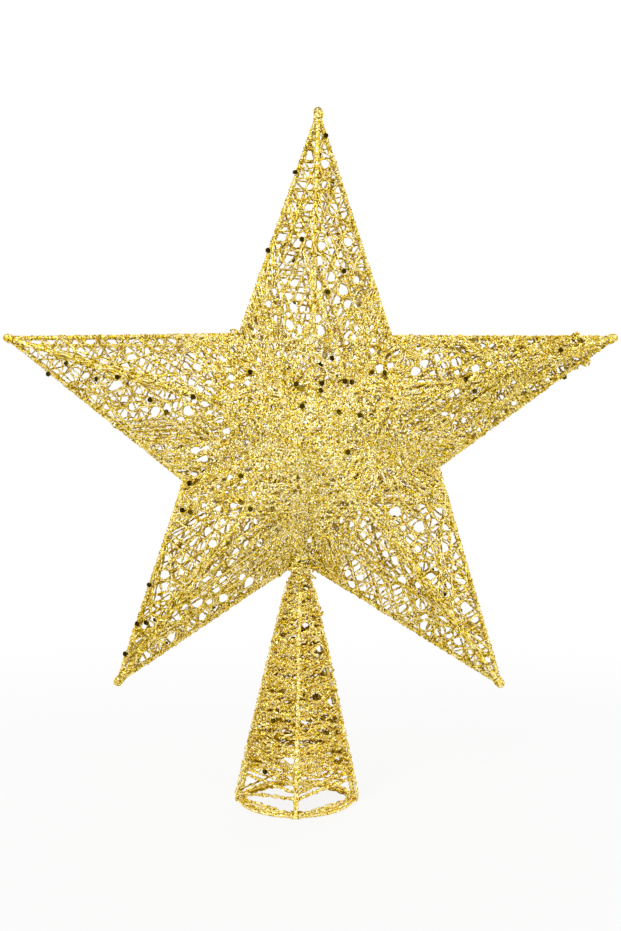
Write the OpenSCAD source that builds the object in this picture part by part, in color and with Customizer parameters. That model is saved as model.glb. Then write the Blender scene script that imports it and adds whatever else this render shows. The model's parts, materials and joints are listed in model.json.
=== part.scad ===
// A five-pointed tree topper: a swelling star of straight wires, wound with thread, on a wire cone
// that slips over the leader of the tree. X runs across the star, Y from its front to its back and
// Z up. The origin is on the ground under the middle of the star.

/* [Star] */
// From the middle of the star to the end of each blunt tip
tip_r = 131.2; // [120:0.2:145]
// Height of the middle of the star over the ground
star_z = 151.6; // [148:0.2:165]
// From the middle plane of the star to the middle of the wires at each apex
apex_depth = 26; // [20:0.5:32]

/* [Wire] */
// Thickness of every frame wire and of the ring
wire_d = 1.8; // [1.4:0.1:2]
// Gap between two wires that are welded together, and round each wire in its bead
weld_gap = 0.1; // [0.05:0.05:0.2]
// Thickness of the blunt end in which the four wires of an arm meet
tip_d = 3.5; // [3:0.1:4.5]
// How far a blunt end stands out past the point where its two outline wires would cross
tip_reach = 2.4; // [2:0.1:5]
// Thickness of the bead in each valley of the outline
valley_bead_d = 3; // [2.6:0.1:4]
// Thickness of the bead at each apex
apex_bead_d = 4.6; // [4:0.1:6]
// Thickness of the bead that joins the neck of the cone to the star
neck_bead_d = 6; // [5.6:0.1:6.4]
// Thickness of the bead between each rib and the ring
ring_bead_d = 3.2; // [3:0.1:3.4]

/* [Cone] */
// Radius of the ring at the mouth, at the middle of its wire
mouth_r = 21.6; // [18:0.2:28]
// How far the mouth sits to the left of the star's middle line
mouth_shift = 5.7; // [0:0.1:8]
// From the axis of the neck to the middle of each rib at its top
neck_r = 2.2; // [1.8:0.1:3]

/* [Thread] */
// Thickness of the thread
thread_d = 1; // [0.8:0.1:1.2]
// Gap between the thread and what it lies on
seat_gap = 0.25; // [0.15:0.05:0.4]
// Turns of the thread round each arm
arm_turns = 13; // [8:1:13]
// Turns of the thread round each apex
web_turns = 12; // [8:1:12]
// Turns of the thread round the cone
cone_turns = 20; // [12:1:20]
// Turns of the thread that binds the neck
neck_turns = 4; // [3:1:4]
// From the valleys of an arm to its first turn
valley_clear = 5.5; // [5:0.1:8]
// From the crossing of the outline wires to the last turn of an arm
tip_clear = 6; // [5:0.1:10]
// From the middle of the star to the first turn round each apex
web_start = 6; // [5:0.5:10]
// From the middle of the star to the last turn round each apex
web_end = 60; // [50:1:64]
// Height of the first turn of the cone over the ring
mouth_clear = 5; // [4:0.5:10]
// Height of the binding on the neck
binding_h = 7.6; // [7.2:0.2:9]

/* [Sequins] */
// Width of a sequin from corner to corner
sequin_w = 2; // [1.2:0.1:3]
// Thickness of a sequin
sequin_t = 0.15; // [0.1:0.05:0.3]

/* [Hidden] */
ARMS = ["top", "left", "lower_left", "lower_right", "right"];
EDGES = [["right", "left"], ["upper", "lower"], ["outer", "inner"], ["inner", "outer"],
         ["lower", "upper"]];
FACES = ["front", "back"];
RIBS = ["right", "back", "left", "front"];

function outline_name(k, e) = str(ARMS[k], "_arm_", EDGES[k][e], "_wire");
function ridge_name(k, f) = str(ARMS[k], "_arm_", FACES[f], "_ridge");

gold = "goldenrod";
thread_gold = "gold";
dark = "saddlebrown";
$fn = 48;

// The frame is bent by hand: how far each tip and each valley is turned from its even place, in
// degrees, and the radius of each valley as a share of the radius of the tips. They go round with
// the arms, from the top arm to the left one, and each valley follows the arm of its number.
tip_turns = [-1.4, 1.1, -1.4, 0.8, -1.1];
valley_turns = [0.7, 4, -4.6, 2, -4.8];
valley_r_shares = [0.366, 0.418, 0.4, 0.408, 0.379];

wire_r = wire_d / 2;
thread_r = thread_d / 2;
cross_r = tip_r - tip_reach;
full_turn = 360;
arm_turn = full_turn / len(ARMS);
tip_a = [for (k = [0:4]) 90 + arm_turn * k + tip_turns[k]];
valley_a = [for (k = [0:4]) 90 + arm_turn * (k + 0.5) + valley_turns[k]];

// A point of the middle plane of the star, and the two ends of the wires that meet there
function spot(r, a) = [r * cos(a), 0, star_z + r * sin(a)];
function outward(a) = [cos(a), 0, sin(a)];
function unit(v) = v / norm(v);
function crossing(k) = spot(cross_r, tip_a[k]);
function valley(k) = spot(tip_r * valley_r_shares[k], valley_a[k]);
function apex(f) = [0, (2 * f - 1) * apex_depth, star_z];

// How far two wires that would cross are cut back from that point, so that their ends keep the gap
function cut_back(u, v) = let (half = acos(unit(u) * unit(v)) / 2)
    (wire_r * cos(half) + weld_gap / 2) / sin(half);
function shorten(a, b, from_a, from_b) = let (u = unit(b - a)) [a + u * from_a, b - u * from_b];

// Edge 0 of an arm ends in the valley before it and edge 1 in the valley after it
function edge_valley(k, e) = (k + e + 4) % 5;
function edge_line(k, e) = [valley(edge_valley(k, e)), crossing(k)];
function tip_cut(k) = cut_back(valley(edge_valley(k, 0)) - crossing(k),
                               valley(edge_valley(k, 1)) - crossing(k));
function valley_cut(k) = cut_back(crossing(k) - valley(k), crossing((k + 1) % 5) - valley(k));
function outline_wire(k, e) = let (line = edge_line(k, e))
    shorten(line[0], line[1], valley_cut(edge_valley(k, e)), tip_cut(k));

// A ridge wire lies on the ends of the two outline wires at the tip, and rises to its apex
ridge_end_r = cross_r - wire_r / tan(arm_turn / 4);
apex_cut = max([for (k = [0:4]) cut_back(outward(tip_a[k]), outward(tip_a[(k + 1) % 5]))])
    + weld_gap;
function ridge_line(k, f) = [apex(f), spot(ridge_end_r, tip_a[k])
    + [0, (2 * f - 1) * (wire_d + weld_gap), 0]];
function ridge_wire(k, f) = let (line = ridge_line(k, f)) shorten(line[0], line[1], apex_cut, 0);

// The distance from the middle of the star at which the last of the four wires ends
wire_end_r = max([for (k = [0:4], e = [0:1]) let (end = outline_wire(k, e)[1])
    (end - [0, 0, star_z]) * outward(tip_a[k]) + wire_r * sin(arm_turn / 4)]);

// The ribs of the cone stand outside the ring and end under the outline wires of the lower valley
lower_valley = 2;
neck = valley(lower_valley);
function steepness(k) = let (fall = neck - crossing(k)) fall[2] / abs(fall[0]);
neck_fall = max(steepness(lower_valley), steepness(lower_valley + 1));
lean = atan((mouth_r + wire_d - neck_r + neck[0] + mouth_shift) / neck[2]);
rib_top_z = neck[2] - (neck_r + wire_r) * neck_fall
    - wire_r * (sqrt(1 + neck_fall * neck_fall) + sin(lean)) - weld_gap;
rib_foot_z = wire_r / 2;
foot_r = mouth_r + (wire_d + weld_gap) / cos(lean) + (wire_r - rib_foot_z) * tan(lean);
function rib_line(j) = let (a = full_turn / len(RIBS) * j, out = [cos(a), sin(a), 0])
    [[-mouth_shift, 0, rib_foot_z] + foot_r * out, [neck[0], 0, rib_top_z] + neck_r * out];

// A winding goes round straight wires: at the distance s along the axis it has one corner, or a
// corner cut in two, outside each wire, listed anticlockwise as seen against the axis
function along(line, axis, s) = let (run = line[1] - line[0])
    line[0] + run * (s - line[0] * axis) / (run * axis);
function side_normal(wires, axis, s, j) = let (n = len(wires))
    cross(unit(along(wires[(j + 1) % n], axis, s) - along(wires[j % n], axis, s)), axis);
function mitre(n1, n2, d) = (n1 + n2) * d / (1 + n1 * n2);
function corner(wires, axis, s, stop, d) = let (
    n1 = side_normal(wires, axis, s, stop[0] + len(wires) - 1),
    n2 = side_normal(wires, axis, s, stop[0]),
    middle = unit(n1 + n2))
    along(wires[stop[0]], axis, s)
    + (stop[1] == 0 ? mitre(n1, n2, d) : stop[1] < 0 ? mitre(n1, middle, d) : mitre(middle, n2, d));

// Each end of a thread is tied to a wire: it comes down square on it from outside
function tie(line, axis, s, out) = let (
    run = unit(line[1] - line[0]),
    foot = along(line, axis, s),
    way = unit(out - run * (out * run)))
    [foot + way * (wire_r + weld_gap), foot + way * (wire_r + weld_gap + thread_d)];

// A whole winding from stop number first to stop number last, tied at the wires beside them
seat = wire_r + seat_gap + thread_r;
function wound(wires, stops, axis, s0, pitch, first, last) = let (
    n = len(stops),
    height = [for (i = [0:last + 1]) s0 + pitch * i / n],
    from_wire = stops[(first - 1) % n][0],
    to_wire = stops[(last + 1) % n][0],
    start = tie(wires[from_wire], axis, height[first - 1],
                side_normal(wires, axis, height[first - 1], from_wire)),
    end = tie(wires[to_wire], axis, height[last + 1],
              side_normal(wires, axis, height[last + 1], to_wire + len(wires) - 1)))
    concat(start, [for (i = [first:last]) corner(wires, axis, height[i], stops[i % n], seat)],
           [end[1], end[0]]);

// Round an arm: two corners at each outline wire and one at each ridge
arm_stops = [[0, -1], [0, 1], [1, 0], [2, -1], [2, 1], [3, 0]];
function arm_wires(k) = [edge_line(k, 0), ridge_line(k, 1), edge_line(k, 1), ridge_line(k, 0)];
function arm_start(k) = valley_clear + max([for (e = [0:1])
    (valley(edge_valley(k, e)) - [0, 0, star_z]) * outward(tip_a[k])]);
function arm_axis_start(k) = [0, 0, star_z] * outward(tip_a[k]);
function arm_pitch(k) = (cross_r - tip_clear - arm_start(k)) / (arm_turns + 0.5);
function arm_route(k) = wound(arm_wires(k), arm_stops, outward(tip_a[k]),
    arm_axis_start(k) + arm_start(k), arm_pitch(k), 2, len(arm_stops) * arm_turns + 2);

// Round an apex: over the ridges, and from the first turns of the arms on over those as well
web_pitch = (web_end - web_start) / web_turns;
function web_rise(k, r) = let (
    axis = outward(tip_a[k]),
    s = arm_axis_start(k) + r,
    n1 = side_normal(arm_wires(k), axis, s, 0),
    n2 = side_normal(arm_wires(k), axis, s, 1))
    r < arm_start(k) - 2 * thread_d ? seat
        : norm(mitre(n1, n2, seat + thread_r)) + seat_gap + thread_r;
function web_r(i) = web_start + web_pitch * i / 5;
function web_spot(f, i) = let (k = i % 5)
    along(ridge_line(k, f), outward(tip_a[k]), arm_axis_start(k) + web_r(i))
    + [0, (2 * f - 1) * web_rise(k, web_r(i)), 0];
function web_tie(f, k, r) = tie(ridge_line(k, f), outward(tip_a[k]), arm_axis_start(k) + r,
                                [0, 2 * f - 1, 0]);
// The place nearest to r on a ridge that lies midway between two turns of the arm's thread
function between_turns(k, f, r) = let (
    ridge_stop = f == 1 ? 2 : 5,
    first = arm_start(k) + arm_pitch(k) * ridge_stop / len(arm_stops))
    first + arm_pitch(k) * (round((r - first) / arm_pitch(k) - 0.5) + 0.5);
function web_route(f) = let (
    last = 5 * web_turns,
    end_arm = (last + 1) % 5,
    end = web_tie(f, end_arm, between_turns(end_arm, f, web_r(last + 1))))
    concat(web_tie(f, 4, web_r(-1)), [for (i = [0:last]) web_spot(f, i)], [end[1], end[0]]);

// Round the cone and its neck: two corners at each rib
rib_stops = [for (j = [0:3], half = [-1, 1]) [j, half]];
rib_lines = [for (j = [0:3]) rib_line(j)];
cone_start = wire_d + mouth_clear;
neck_bead_z = neck[2]
    - (neck_bead_d / 2 + wire_r + weld_gap) * sqrt(1 + neck_fall * neck_fall);
binding_start = neck_bead_z - neck_bead_d / 2 - binding_h;
cone_pitch = (binding_start - 2 * thread_d - cone_start) / (cone_turns + 0.5);
cone_route = wound(rib_lines, rib_stops, [0, 0, 1], cone_start, cone_pitch, 2,
    len(rib_stops) * cone_turns + 1);
binding_pitch = binding_h / (neck_turns + 0.5);
binding_route = wound(rib_lines, rib_stops, [0, 0, 1], binding_start, binding_pitch, 2,
    len(rib_stops) * neck_turns + 1);

// One unbroken tube of six sides along a route, with its corners mitred
SIDES = 6;
function heading(route, i) = let (j = max(0, min(len(route) - 2, i))) unit(route[j + 1] - route[j]);
function across(u) = unit(cross(u, abs(u[2]) < 0.9 ? [0, 0, 1] : [1, 0, 0]));
function cut(v, before, after) = let (m = unit(before + after)) v - before * (v * m) / (before * m);
function carried(v, after) = v - after * (v * after);
function ring_offsets(route, r) = let (
    u = heading(route, 0),
    x = across(u),
    y = cross(u, x),
    first = [for (j = [0:SIDES - 1]) let (a = full_turn / SIDES * j) r * (x * cos(a) + y * sin(a))])
    [for (i = 0, ring = first; i < len(route);
          ring = [for (v = ring) carried(cut(v, heading(route, i - 1), heading(route, i)),
                                         heading(route, i))], i = i + 1)
        [for (v = ring) cut(v, heading(route, i - 1), heading(route, i))]];

module tube(route, d) {
    n = len(route);
    offsets = ring_offsets(route, d / 2);
    points = [for (i = [0:n - 1], v = offsets[i]) route[i] + v];
    walls = [for (i = [0:n - 2], j = [0:SIDES - 1])
        let (a = SIDES * i + j, b = SIDES * i + (j + 1) % SIDES)
        each [[a, a + SIDES, b], [b, a + SIDES, b + SIDES]]];
    start_cap = [for (j = [1:SIDES - 2]) [0, j, j + 1]];
    end_cap = [for (j = [1:SIDES - 2]) (n - 1) * SIDES * [1, 1, 1] + [0, j + 1, j]];
    polyhedron(points, concat(walls, start_cap, end_cap));
}

// The least gap of a winding to itself, between points that lie half a turn or more apart
SAMPLES = 3;
function sampled(route) = [for (i = [0:len(route) - 2], j = [0:SAMPLES - 1])
    route[i] + (route[i + 1] - route[i]) * j / SAMPLES];
function least_gap(route, stops) = let (p = sampled(route), apart = floor(stops / 2) * SAMPLES)
    min([for (i = [0:len(p) - 1 - apart], j = [i + apart:len(p) - 1]) norm(p[i] - p[j])]) - thread_d;

module winding(name, route, stops) {
    echo(str("least gap of ", name, " to itself"), least_gap(route, stops));
    color(thread_gold) tube(route, thread_d);
}

// Turns what stands on Z to stand on a point and along a line
module lay(from, run) {
    translate(from) rotate([0, acos(run[2] / norm(run)), atan2(run[1], run[0])]) children();
}

// A straight round rod from one point to another
module rod(ends, d) {
    lay(ends[0], ends[1] - ends[0]) cylinder(h = norm(ends[1] - ends[0]), d = d);
}

module wire(ends) {
    color(gold) rod(ends, wire_d);
}

module wire_room(ends) {
    rod(shorten(ends[0], ends[1], -weld_gap, -weld_gap), wire_d + 2 * weld_gap);
}

// The blunt end of an arm: a round-ended rod across the ends of its four wires
module tip_beads() {
    inner_r = wire_end_r + weld_gap;
    length = tip_r - inner_r;
    color(gold) for (k = [0:4])
        lay(spot(inner_r, tip_a[k]), outward(tip_a[k])) rotate_extrude() intersection() {
            union() {
                translate([0, length - tip_d / 2]) circle(d = tip_d);
                square([tip_d / 2, length - tip_d / 2]);
            }
            square([tip_d / 2, length]);
        }
}

module valley_beads() {
    color(gold) for (k = [0:4]) difference() {
        translate(valley(k)) sphere(d = valley_bead_d);
        wire_room(outline_wire(k, 1));
        wire_room(outline_wire((k + 1) % 5, 0));
    }
}

module apex_bead(f) {
    color(gold) difference() {
        translate(apex(f)) sphere(d = apex_bead_d);
        for (k = [0:4]) wire_room(ridge_wire(k, f));
    }
}

// It holds the ends of the ribs, right under the two outline wires of the lower valley
module neck_bead() {
    color(gold) difference() {
        translate([neck[0], 0, neck_bead_z]) sphere(d = neck_bead_d);
        for (j = [0:3]) wire_room(rib_line(j));
    }
}

module ring(d) {
    translate([-mouth_shift, 0, wire_r]) rotate_extrude() translate([mouth_r, 0]) circle(d = d);
}

module base_ring() {
    color(gold) ring(wire_d);
}

module ring_beads() {
    bead_r = (mouth_r + foot_r) / 2;
    color(gold) for (j = [0:3]) difference() {
        translate([-mouth_shift, 0, ring_bead_d / 2 + weld_gap])
            rotate([0, 0, full_turn / len(RIBS) * j]) translate([bead_r, 0, 0]) sphere(d = ring_bead_d);
        ring(wire_d + 2 * weld_gap);
        wire_room(rib_line(j));
    }
}

// Places of the sequins: [arm, turn, share of the way over the front face of the arm], then
// [turn, share of the turn] round the front apex and on the front left side of the cone
arm_sequin_shares = [
    [0, 1, 0.6], [0, 3, 0.8], [0, 4, 0.08], [0, 5, 0.35], [0, 9, 0.12], [0, 11, 0.85],
    [1, 0, 0.42], [1, 1, 0.3], [1, 2, 0.3], [1, 5, 0.42], [1, 7, 0.3], [1, 9, 0.35], [1, 10, 0.15],
    [2, 0, 0.92], [2, 6, 0.9], [2, 9, 0.85], [2, 11, 0.82], [4, 2, 0.44], [4, 3, 0.6], [4, 9, 0.35]];
web_sequin_shares = [[1, 0.06], [2, 0.84], [3, 0.83], [3, 0.67], [3, 0.97], [4, 0.05], [5, 0.98],
    [5, 0.91], [6, 0.96], [6, 0.89], [7, 0.38], [8, 0.35], [8, 0.13], [8, 0.87], [9, 0.86]];
cone_sequin_shares = [[1, 0.45], [7, 0.5]];

// The outward side of a turn that runs round an axis
function facing(route, place, axis) = let (i = floor(place))
    unit(cross(unit(route[i + 1] - route[i]), axis));

module sequin(route, place, out) {
    i = floor(place);
    foot = route[i] + (route[i + 1] - route[i]) * (place - i) + out * (thread_r + weld_gap);
    color(dark) lay(foot, out) cylinder(h = sequin_t, d = sequin_w, $fn = 6);
}

module sequins() {
    // The two points of the tie come before the first stop, and stop 4 starts the front of an arm
    for (p = arm_sequin_shares) {
        route = arm_route(p[0]);
        place = len(arm_stops) * p[1] + 4 + 2 * p[2];
        sequin(route, place, facing(route, place, outward(tip_a[p[0]])));
    }
    for (p = web_sequin_shares) sequin(web_route(0), 2 + 5 * (p[0] + p[1]), [0, -1, 0]);
    for (p = cone_sequin_shares) {
        place = len(rib_stops) * p[0] + 5 + p[1];
        sequin(cone_route, place, facing(cone_route, place, [0, 0, 1]));
    }
}

for (k = [0:4], e = [0:1])
    wire(outline_wire(k, e));
for (k = [0:4], f = [0:1])
    wire(ridge_wire(k, f));
tip_beads();
valley_beads();
for (f = [0:1]) apex_bead(f);
neck_bead();
base_ring();
for (j = [0:3]) wire(rib_line(j));
ring_beads();
for (k = [0:4])
    winding(str("the ", ARMS[k], " arm"), arm_route(k), len(arm_stops));
for (f = [0:1])
    winding(str("the ", FACES[f], " web"), web_route(f), 5);
winding("the cone", cone_route, len(rib_stops));  // cone_winding
winding("the neck", binding_route, len(rib_stops));  // neck_binding
sequins();
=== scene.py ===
import json
import math

import bmesh
import bpy
import numpy as np
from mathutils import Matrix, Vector
from mathutils.bvhtree import BVHTree

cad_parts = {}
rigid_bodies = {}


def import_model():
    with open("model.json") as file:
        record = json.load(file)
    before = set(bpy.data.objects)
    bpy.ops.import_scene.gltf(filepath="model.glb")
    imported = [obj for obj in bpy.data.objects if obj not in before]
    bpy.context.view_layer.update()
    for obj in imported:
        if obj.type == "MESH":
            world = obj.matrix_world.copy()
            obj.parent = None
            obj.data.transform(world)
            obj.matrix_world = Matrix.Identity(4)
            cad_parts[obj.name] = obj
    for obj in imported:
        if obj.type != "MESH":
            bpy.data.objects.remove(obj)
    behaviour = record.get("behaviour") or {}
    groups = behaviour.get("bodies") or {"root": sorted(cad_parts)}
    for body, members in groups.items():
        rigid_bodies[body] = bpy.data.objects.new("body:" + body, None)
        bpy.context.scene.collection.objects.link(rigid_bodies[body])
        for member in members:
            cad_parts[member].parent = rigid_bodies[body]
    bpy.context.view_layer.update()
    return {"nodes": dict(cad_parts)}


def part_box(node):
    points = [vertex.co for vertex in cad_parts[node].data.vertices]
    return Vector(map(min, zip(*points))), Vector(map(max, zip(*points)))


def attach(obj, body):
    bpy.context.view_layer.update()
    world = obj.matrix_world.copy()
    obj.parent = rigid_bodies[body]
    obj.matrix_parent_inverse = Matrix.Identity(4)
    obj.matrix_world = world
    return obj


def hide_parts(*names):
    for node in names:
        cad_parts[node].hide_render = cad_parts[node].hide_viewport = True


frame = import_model()
nodes = frame["nodes"]
mm = 0.001  # points are worked out in millimetres, and meshes are in metres

armNames = ["top", "left", "lower_left", "lower_right", "right"]
edgeNames = [("right", "left"), ("upper", "lower"), ("outer", "inner"), ("inner", "outer"),
             ("lower", "upper")]
front, back = -1, 1  # the way along Y
faceNames = {front: "front", back: "back"}
ribNames = ["right", "back", "left", "front"]


def unit(v):
    return v / np.linalg.norm(v)


def units(rows):
    return rows / np.linalg.norm(rows, axis=1)[:, None]


def shown(name, data):
    made = bpy.data.objects.new(name, data)
    bpy.context.scene.collection.objects.link(made)
    return made


def nodePoints(name):
    found = np.array([v.co for v in nodes[name].data.vertices], float) / mm
    return np.unique(found.round(4), axis=0)


def wireEnds(name, middle):
    # the two ends of a straight wire, the nearer to middle first
    at = nodePoints(name)
    centre = at.mean(0)
    run = np.linalg.svd(at - centre, full_matrices=False)[2][0]
    along = (at - centre) @ run
    ends = [at[along < 0].mean(0), at[along > 0].mean(0)]
    return sorted(ends, key=lambda p: np.linalg.norm(p - middle))


apexes = {side: nodePoints(f"{faceNames[side]}_apex_bead").mean(0) for side in (front, back)}
starMiddle = (apexes[front] + apexes[back]) / 2
starMiddle[1] = 0
edges = {(k, e): wireEnds(f"{armNames[k]}_arm_{edgeNames[k][e]}_wire", starMiddle)
         for k in range(5) for e in range(2)}
ridges = {(k, side): wireEnds(f"{armNames[k]}_arm_{faceNames[side]}_ridge", starMiddle)
          for k in range(5) for side in (front, back)}
crossings = [(edges[k, 0][1] + edges[k, 1][1]) / 2 for k in range(5)]
valleys = [(edges[k, 1][0] + edges[(k + 1) % 5, 0][0]) / 2 for k in range(5)]
outline = np.array([p for k in range(5) for p in (crossings[k], valleys[k])])[:, [0, 2]]
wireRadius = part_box("base_ring")[1].z / mm / 2
ringLow, ringHigh = (np.array(v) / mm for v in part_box("base_ring"))
ringMiddle = (ringLow + ringHigh) / 2
ringRadius = (ringHigh[0] - ringLow[0]) / 2 - wireRadius
neckTop = nodePoints("neck_bead").mean(0)
ribs = {name: wireEnds(f"cone_rib_{name}", ringMiddle) for name in ribNames}
print("frame read: star middle at", starMiddle.round(2), "ring radius", round(ringRadius, 2))

# The camera comes first, because openings and sequins are placed by what it sees
camera = {"distance": 445, "height": 137.1, "lens": 42.1, "sensor": 36}
photoCamera = shown("photoCamera", bpy.data.cameras.new("photoCamera"))
photoCamera.location = (0, -camera["distance"] * mm, camera["height"] * mm)
photoCamera.rotation_euler = (math.pi / 2, 0, 0)
photoCamera.data.lens = camera["lens"]
photoCamera.data.sensor_width = camera["sensor"]
photoCamera.data.clip_start = 0.01
bpy.context.scene.camera = photoCamera

# Thread, and how a strand runs over the star
threadLook = {
    "radius": 0.37,        # of a strand with its glitter
    "radiusSpread": 0.28,  # how much the glitter makes that vary
    "step": 1.15,          # from one ring of corners to the next
    "roughness": 0.05,     # how far a corner strays
    "wobble": 0.09,        # how far a strand strays from its line
    "wobbleSpread": (0.5, 1.5),
    "wobbleLength": 8.0,
    "waves": (1.0, 0.45),  # the waves that it consists of, the longest first
    "waveSpread": (0.7, 1.4),
    "still": 2.0,          # from each end of a strand, where they fade
    "tangle": 0.32,        # how far it strays near the middle of the star
    "tangleLength": 4.5,
    "tangleEnd": 62,       # how far from the middle it does so, and over what length that fades
    "tangleFade": 22,
    "slack": 2.8,          # how far a strand may stand off the faces between the ridges
    "slackHeight": 14,     # where the faces are this high, and less where they are lower
    "lowLift": 0.3,        # the share of a strand's lift over a ridge that is left at its low end
    "seat": 0.17,          # from the outside of a wire to the middle of a strand on it
    "sunk": (-0.2, -0.05), # and how much lower its turns round the outline lie
    "pitchWave": 0.35,     # how much the pitch of a bound strand varies, and over what length
    "pitchWaveLength": 7,
    "pitchStray": 0.1,
    "boundStray": 0.05,
    "paintedSideShade": 0.65,     # painted shade and light: how much darker the sides of a strand are, and lighter what faces out of the star's faces
    "paintedShadeFrom": 30,        # and from how far out, growing over the same length
    "paintedShadeLeast": 0.3,      # the share of it that is left nearer to the middle
    "darkest": -0.6,       # of the shades of its glitter
}
contact = wireRadius + threadLook["seat"]


def resampled(points, step):
    parts = []
    for a, b in zip(points[:-1], points[1:]):
        count = max(1, int(math.ceil(np.linalg.norm(b - a) / step)))
        parts.append(a + (b - a) * np.arange(count)[:, None] / count)
    parts.append(points[-1:])
    return np.concatenate(parts)


def runAlong(points):
    # how far along a line each of its points lies
    return np.concatenate([[0], np.cumsum(np.linalg.norm(np.diff(points, axis=0), axis=1))])


def wobbled(points, rng, size, length):
    # slow waves in all three directions, none at the two ends
    run = runAlong(points)
    total = max(run[-1], 1e-6)
    moved = np.zeros_like(points)
    for share in threadLook["waves"]:
        phase = rng.uniform(0, 2 * math.pi, 3)
        wave = length * share * rng.uniform(*threadLook["waveSpread"], 3)
        moved += share * np.sin(run[:, None] / wave * 2 * math.pi + phase)
    hold = np.clip(np.minimum(run, total - run) / threadLook["still"], 0, 1)
    return points + size * moved * hold[:, None]


def inOutline(spots):
    # even-odd test of many points of the middle plane
    (ax, az), (bx, bz) = outline.T[:, None], np.roll(outline, -1, axis=0).T[:, None]
    x, z = spots[:, :1], spots[:, 1:]
    across = (az > z) != (bz > z)
    with np.errstate(divide="ignore", invalid="ignore"):
        at = (bx - ax) * (z - az) / (bz - az)
    return ((across & (x < at + ax)).sum(1) % 2).astype(bool)


def draped(p, q, side, lift):
    # a taut strand between two points of the outline lies on the ridges that it crosses
    middle = starMiddle[[0, 2]]
    run, toMiddle = q - p, middle - p
    low = threadLook["lowLift"]
    stops = [(0.0, contact), (1.0, contact)]
    for k in range(5):
        outer = ridges[k, side][1]
        apexHeight = abs(apexes[side][1])
        ray = unit(outer[[0, 2]] - middle)
        reach = np.linalg.norm(outer[[0, 2]] - middle)
        det = run[0] * -ray[1] + ray[0] * run[1]
        if abs(det) < 1e-9:
            continue
        t = (toMiddle[0] * -ray[1] + ray[0] * toMiddle[1]) / det
        r = (run[0] * toMiddle[1] - run[1] * toMiddle[0]) / det
        if 0.01 < t < 0.99 and 0 <= r <= reach:
            share = r / reach
            height = apexHeight * (1 - share) + abs(outer[1]) * share
            raised = low + (1 - low) * height / apexHeight
            stops.append((t, height + contact + lift * raised))
    stops.sort()
    hull = []
    for stop in stops:
        while len(hull) > 1 and ((hull[-1][0] - hull[-2][0]) * (stop[1] - hull[-2][1])
                                 >= (stop[0] - hull[-2][0]) * (hull[-1][1] - hull[-2][1])):
            hull.pop()
        hull.append(stop)
    return [np.array([p[0] + run[0] * t, side * h, p[1] + run[1] * t]) for t, h in hull]


openings = {
    # small openings that the threads gather round: the middle of each group in the plane of the
    # star, how far it spreads across and up, how many and how wide
    "groups": [(-36, 178, 12, 9, 18, 1.6), (4, 183, 30, 6, 20, 1.25), (55, 181, 27, 7, 26, 1.65),
               (-36, 148, 12, 16, 24, 1.35), (-34, 118, 16, 13, 24, 1.45),
               (30, 119, 16, 13, 4, 1.2), (70, 158, 18, 8, 8, 1.2), (-68, 92, 9, 22, 22, 1.8),
               (2, 150, 26, 20, 14, 0.95), (-42, 82, 18, 12, 14, 1.75),
               (-82, 170, 34, 14, 44, 1.9), (56, 88, 22, 32, 34, 1.9), (2, 225, 26, 36, 34, 1.75)],
    "spread": 0.3,          # how much the widths vary
    "apart": 1.9,           # in widths, from one to the next
    "margin": 1.6,          # in radii, from the middle of one to the outline
    "tries": 4000,          # at most, for a group
    "crossed": 0.14,        # the share of strands that run over them all the same
    "crossedInArms": 0.25,
    "near": 0.95,           # in radii, how near to its middle a strand comes that goes round it
    "bend": 1.5,            # in radii, how far along the strand the way round it reaches
    "furthest": 1.3,        # in radii, how far the strand moves for one
    "spare": 0.2,           # how much further a strand stays out that was out already
}


def openingPlaces(look, rng):
    # across, up and radius, none over the outline or another
    places = []
    around = np.array([(1, 0), (-1, 0), (0, 1), (0, -1)])
    for x, z, wide, tall, count, size in look["groups"]:
        found, tries = 0, 0
        while found < count and tries < look["tries"]:
            tries += 1
            at = np.array([x + rng.uniform(-wide, wide), z + rng.uniform(-tall, tall)])
            radius = size * rng.uniform(1 - look["spread"], 1 + look["spread"])
            inside = inOutline(at + radius * around * look["margin"]).all()
            clear = all(np.linalg.norm(at - p[:2]) > look["apart"] * (radius + p[2]) / 2
                        for p in places)
            if inside and clear:
                places.append(np.array([*at, radius]))
                found += 1
    return np.array(places)


openingList = openingPlaces(openings, np.random.default_rng(90))


def gathered(points, places=openingList, deepest=math.inf, passes=1):
    # a strand goes round each opening that it would cross, as seen from the front
    eyeHeight = [0, camera["height"]]
    nearer = (camera["distance"] / (camera["distance"] + points[:, 1]))[:, None]
    flat = (points[:, [0, 2]] - eyeHeight) * nearer + eyeHeight
    order = np.arange(len(flat))
    step = np.linalg.norm(np.diff(points, axis=0), axis=1).mean()
    for x, z, radius in places:
        bend = openings["bend"] * radius
        for n in range(passes):
            off = flat - [x, z]
            far = np.where(points[:, 1] > deepest, math.inf, np.hypot(off[:, 0], off[:, 1]))
            i = int(far.argmin())
            if far[i] > openings["near"] * radius or i < 2 or i > len(flat) - 3:
                break
            run = unit(flat[i + 1] - flat[i - 1])
            out = np.array([-run[1], run[0]])
            along, aside = off @ run, off @ out
            way = 1 if aside[i] >= 0 else -1
            near = (abs(along) < bend) & (abs(order - i) < 2 * radius / step + 1)
            wanted = (radius * np.sqrt(np.clip(1 - (along / bend) ** 2, 0, 1))
                      + openings["spare"] * abs(aside))
            move = np.clip(wanted - way * aside, 0, openings["furthest"] * radius) * way
            flat = flat + np.where(near, move, 0)[:, None] * out
    moved = (flat - eyeHeight) / nearer + eyeHeight
    return np.stack([moved[:, 0], points[:, 1], moved[:, 1]], 1)


def onEdge(k, e, share):
    a, b = edges[k, e]
    return (a + (b - a) * share)[[0, 2]]


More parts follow.
